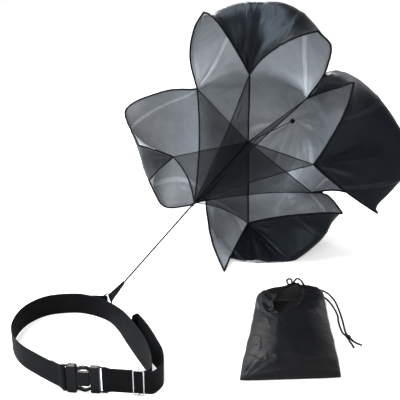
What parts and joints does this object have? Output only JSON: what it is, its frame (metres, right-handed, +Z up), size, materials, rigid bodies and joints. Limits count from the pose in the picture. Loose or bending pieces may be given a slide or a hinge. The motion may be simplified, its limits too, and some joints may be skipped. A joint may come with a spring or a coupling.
{
  "type": "speed parachute",
  "caption": "Running parachute: cross-shaped canopy of sewn scoop panels on net fins, tow cord, waist belt with buckle and adjuster, and a drawstring bag.",
  "frame": {"origin": "on the floor, under the middle of the set's own box without its cords", "axes": "+Z up; -Y towards the runner's front, where the buckle is; +Y towards the canopy; +X towards the bag"},
  "size_m": [0.9166, 1.0438, 0.689],
  "materials": {
    "adjuster": "satin",
    "adjusting_strap": "matte",
    "apex_cord": "matte",
    "apex_patch": "matte",
    "bottom_left_net": "matte",
    "bottom_lip_net": "matte",
    "bottom_lobe": "matte",
    "bottom_lobe_hem_1": "matte",
    "bottom_lobe_hem_2": "matte",
    "bottom_right_net": "matte",
    "buckle_plug": "matte",
    "buckle_socket": "matte",
    "centre_panel": "matte",
    "drawstring_knot": "matte",
    "drawstring_lower_end": "matte",
    "drawstring_lower_strand": "matte",
    "drawstring_upper_end": "matte",
    "drawstring_upper_strand": "matte",
    "left_lip_net": "matte",
    "left_lobe": "matte",
    "left_lobe_hem_1": "matte",
    "left_lobe_hem_2": "matte",
    "lower_prong": "matte",
    "net_tape": "matte",
    "right_lip_net": "matte",
    "right_lobe": "matte",
    "right_lobe_hem_1": "matte",
    "right_lobe_hem_2": "matte",
    "ring_keeper": "matte",
    "storage_bag": "matte",
    "tip_knot": "matte",
    "top_left_net": "matte",
    "top_lip_net": "matte",
    "top_lobe": "matte",
    "top_lobe_hem_1": "matte",
    "top_lobe_hem_2": "matte",
    "top_right_net": "matte",
    "tow_cord": "matte",
    "tow_ring": "satin",
    "tow_tab": "matte",
    "upper_prong": "matte",
    "waist_webbing": "matte",
    "webbing_tail": "matte"
  },
  "bodies": {
    "belt": {"waist_webbing": "waist_webbing", "adjusting_strap": "adjusting_strap", "webbing_tail": "webbing_tail", "buckle_socket": "buckle_socket", "ring_keeper": "ring_keeper", "storage_bag": "storage_bag", "drawstring_upper_strand": "drawstring_upper_strand", "drawstring_lower_strand": "drawstring_lower_strand", "drawstring_upper_end": "drawstring_upper_end", "drawstring_lower_end": "drawstring_lower_end", "drawstring_knot": "drawstring_knot"},
    "plug": {"buckle_plug": "buckle_plug"},
    "upper_prong": {"upper_prong": "upper_prong"},
    "lower_prong": {"lower_prong": "lower_prong"},
    "adjuster": {"adjuster": "adjuster"},
    "ring": {"tow_ring": "tow_ring"},
    "canopy": {"centre_panel": "centre_panel", "top_lobe": "top_lobe", "right_lobe": "right_lobe", "bottom_lobe": "bottom_lobe", "left_lobe": "left_lobe", "bottom_lobe_hem_1": "bottom_lobe_hem_1", "bottom_lobe_hem_2": "bottom_lobe_hem_2", "left_lobe_hem_1": "left_lobe_hem_1", "left_lobe_hem_2": "left_lobe_hem_2", "right_lobe_hem_1": "right_lobe_hem_1", "right_lobe_hem_2": "right_lobe_hem_2", "top_lobe_hem_1": "top_lobe_hem_1", "top_lobe_hem_2": "top_lobe_hem_2", "bottom_left_net": "bottom_left_net", "bottom_lip_net": "bottom_lip_net", "bottom_right_net": "bottom_right_net", "left_lip_net": "left_lip_net", "right_lip_net": "right_lip_net", "top_left_net": "top_left_net", "top_lip_net": "top_lip_net", "top_right_net": "top_right_net", "net_tape": "net_tape", "apex_patch": "apex_patch", "apex_cord": "apex_cord", "tip_knot": "tip_knot", "tow_cord": "tow_cord", "tow_tab": "tow_tab"}
  },
  "joints": [
    {"name": "ring_yaw", "type": "hinge", "parent": "belt", "child": "ring", "pos_m": [-0.27826, -0.20208, 0.025], "axis": [0, 0, 1], "range_deg": [-12, 50]},
    {"name": "tow_pitch", "type": "hinge", "parent": "ring", "child": "canopy", "pos_m": [-0.27717, -0.2004, 0.025], "axis": [0.8377, -0.5461, 0], "range_deg": [0, 30]},
    {"name": "buckle_release", "type": "slide", "parent": "belt", "child": "plug", "axis": [0.9945, -0.1045, 0], "range_m": [0, 0.025], "deforming": ["adjusting_strap", "upper_prong", "lower_prong"]},
    {"name": "upper_prong_squeeze", "type": "hinge", "parent": "plug", "child": "upper_prong", "pos_m": [-0.26633, -0.50668, 0.0498], "axis": [0.1045, 0.9945, 0], "range_deg": [-7, 0], "stiffness_Nm_per_rad": 1.2},
    {"name": "lower_prong_squeeze", "type": "hinge", "parent": "plug", "child": "lower_prong", "pos_m": [-0.26633, -0.50668, 0.0082], "axis": [0.1045, 0.9945, 0], "range_deg": [0, 7], "stiffness_Nm_per_rad": 1.2},
    {"name": "adjuster_slide", "type": "slide", "parent": "belt", "child": "adjuster", "axis": [0.9945, -0.1045, 0], "range_m": [-0.012, 0]}
  ]
}
